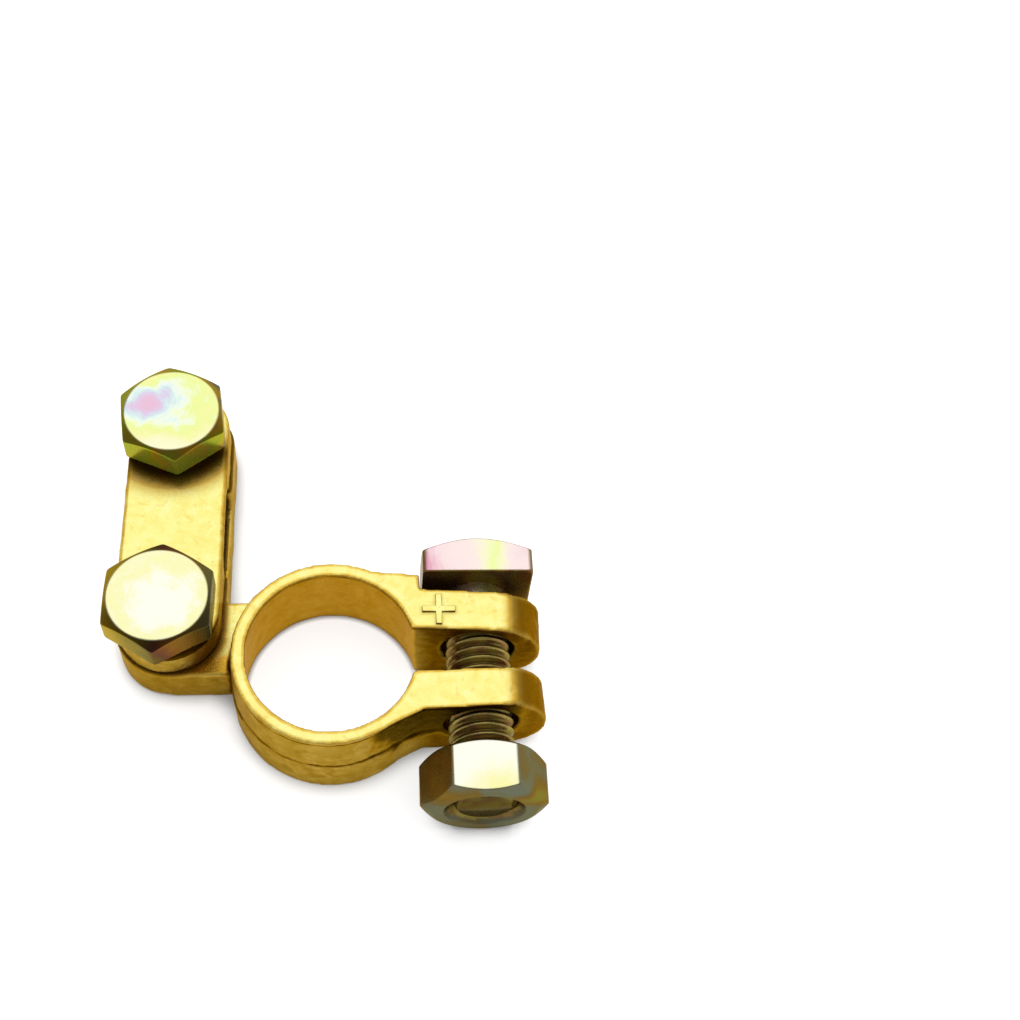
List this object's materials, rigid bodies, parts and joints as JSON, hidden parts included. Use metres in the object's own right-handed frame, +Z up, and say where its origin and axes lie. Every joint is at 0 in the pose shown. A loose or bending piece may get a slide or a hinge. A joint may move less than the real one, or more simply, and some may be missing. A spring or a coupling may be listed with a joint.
{
  "type": "battery terminal clamp",
  "caption": "Cast brass clamp for a battery post: a split tapered ring closed by a pinch bolt through its ears, and a bolted cap over an oval cable channel.",
  "frame": {"origin": "on the floor plane, on the axis of the post ring", "axes": "+X from the post ring towards the ears, +Y along the pinch bolt towards its square head, +Z up along the battery post"},
  "size_m": [0.0541, 0.0595, 0.0146],
  "materials": {
    "cast_brass": "as-cast brass with machined top faces",
    "plated_steel": "zinc plate with yellow iridescent passivation"
  },
  "bodies": {
    "casting": {"clamp_body": "cast_brass"},
    "cap": {"cable_cap": "cast_brass"},
    "near_bolt": {"cable_bolt_near": "plated_steel"},
    "far_bolt": {"cable_bolt_far": "plated_steel"},
    "pinch_bolt": {"pinch_bolt": "plated_steel"},
    "pinch_nut": {"pinch_nut": "plated_steel"}
  },
  "joints": [
    {"name": "cap_lift", "type": "slide", "parent": "casting", "child": "cap", "axis": [0, 0, 1], "range_m": [0, 0.0044]},
    {"name": "near_bolt_turn", "type": "hinge", "parent": "cap", "child": "near_bolt", "pos_m": [-0.02092, 0.0067, 0.0104], "axis": [0, 0, 1], "range_deg": [0, 1260]},
    {"name": "far_bolt_turn", "type": "hinge", "parent": "cap", "child": "far_bolt", "pos_m": [-0.02092, 0.0337, 0.0104], "axis": [0, 0, 1], "range_deg": [0, 1260]},
    {"name": "nut_turn", "type": "hinge", "parent": "casting", "child": "pinch_nut", "pos_m": [0.01822, -0.01829, 0.0069], "axis": [0, 1, 0], "range_deg": [-1080, 480]},
    {"name": "pinch_bolt_slide", "type": "slide", "parent": "casting", "child": "pinch_bolt", "axis": [0, -1, 0], "range_m": [-0.0038, 0.0017]}
  ],
  "couplings": [
    {"joint": "cap_lift", "follows": "near_bolt_turn", "m_per_rad": 0.00019894},
    {"joint": "far_bolt_turn", "follows": "near_bolt_turn", "ratio": 1},
    {"joint": "pinch_bolt_slide", "follows": "nut_turn", "m_per_rad": 0.00019894}
  ]
}
